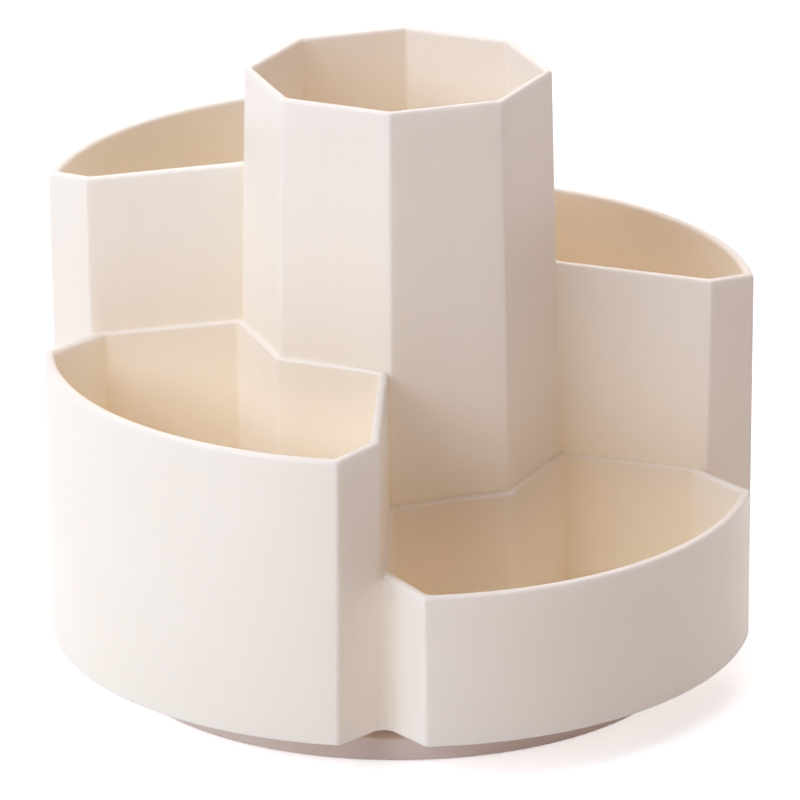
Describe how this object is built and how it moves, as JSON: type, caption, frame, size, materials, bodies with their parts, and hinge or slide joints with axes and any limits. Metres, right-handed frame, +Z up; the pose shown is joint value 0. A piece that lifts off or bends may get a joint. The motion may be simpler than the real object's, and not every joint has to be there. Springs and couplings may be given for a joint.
{
  "type": "rotating pen holder",
  "caption": "Round desk caddy that spins on a low base, with stepped quarter-round wells around a taller octagonal tube for pens, scissors and stationery.",
  "frame": {"origin": "centre of the footprint on the table, under the pivot axis", "axes": "+Z up along the pivot axis; the dividers between wells lie along X and Y at rest, and the notch between the two lower wells faces -Y"},
  "size_m": [0.1489, 0.1489, 0.1307],
  "materials": {
    "body_plastic": "satin moulded cream plastic",
    "base_plastic": "satin moulded cream plastic",
    "cage_nylon": "natural nylon",
    "ball_steel": "polished bearing steel",
    "screw_steel": "zinc plated",
    "washer_steel": "zinc plated",
    "pad_rubber": "matt rubber"
  },
  "bodies": {
    "base": {"base_plate": "base_plastic", "foot_pad_1": "pad_rubber", "foot_pad_2": "pad_rubber", "foot_pad_3": "pad_rubber", "foot_pad_4": "pad_rubber", "foot_pad_5": "pad_rubber", "foot_pad_6": "pad_rubber"},
    "organizer": {"organizer_body": "body_plastic", "pivot_screw": "screw_steel", "pivot_washer": "washer_steel"},
    "ball_ring": {"ball_cage": "cage_nylon", "bearing_ball_01": "ball_steel", "bearing_ball_02": "ball_steel", "bearing_ball_03": "ball_steel", "bearing_ball_04": "ball_steel", "bearing_ball_05": "ball_steel", "bearing_ball_06": "ball_steel", "bearing_ball_07": "ball_steel", "bearing_ball_08": "ball_steel", "bearing_ball_09": "ball_steel", "bearing_ball_10": "ball_steel", "bearing_ball_11": "ball_steel", "bearing_ball_12": "ball_steel"}
  },
  "joints": [
    {"name": "organizer_spin", "type": "hinge", "parent": "base", "child": "organizer", "pos_m": [0, 0, 0.00715], "axis": [0, 0, 1], "continuous": true},
    {"name": "ring_spin", "type": "hinge", "parent": "base", "child": "ball_ring", "pos_m": [0, 0, 0.00715], "axis": [0, 0, 1], "continuous": true}
  ],
  "couplings": [
    {"joint": "ring_spin", "follows": "organizer_spin", "ratio": 0.5}
  ]
}
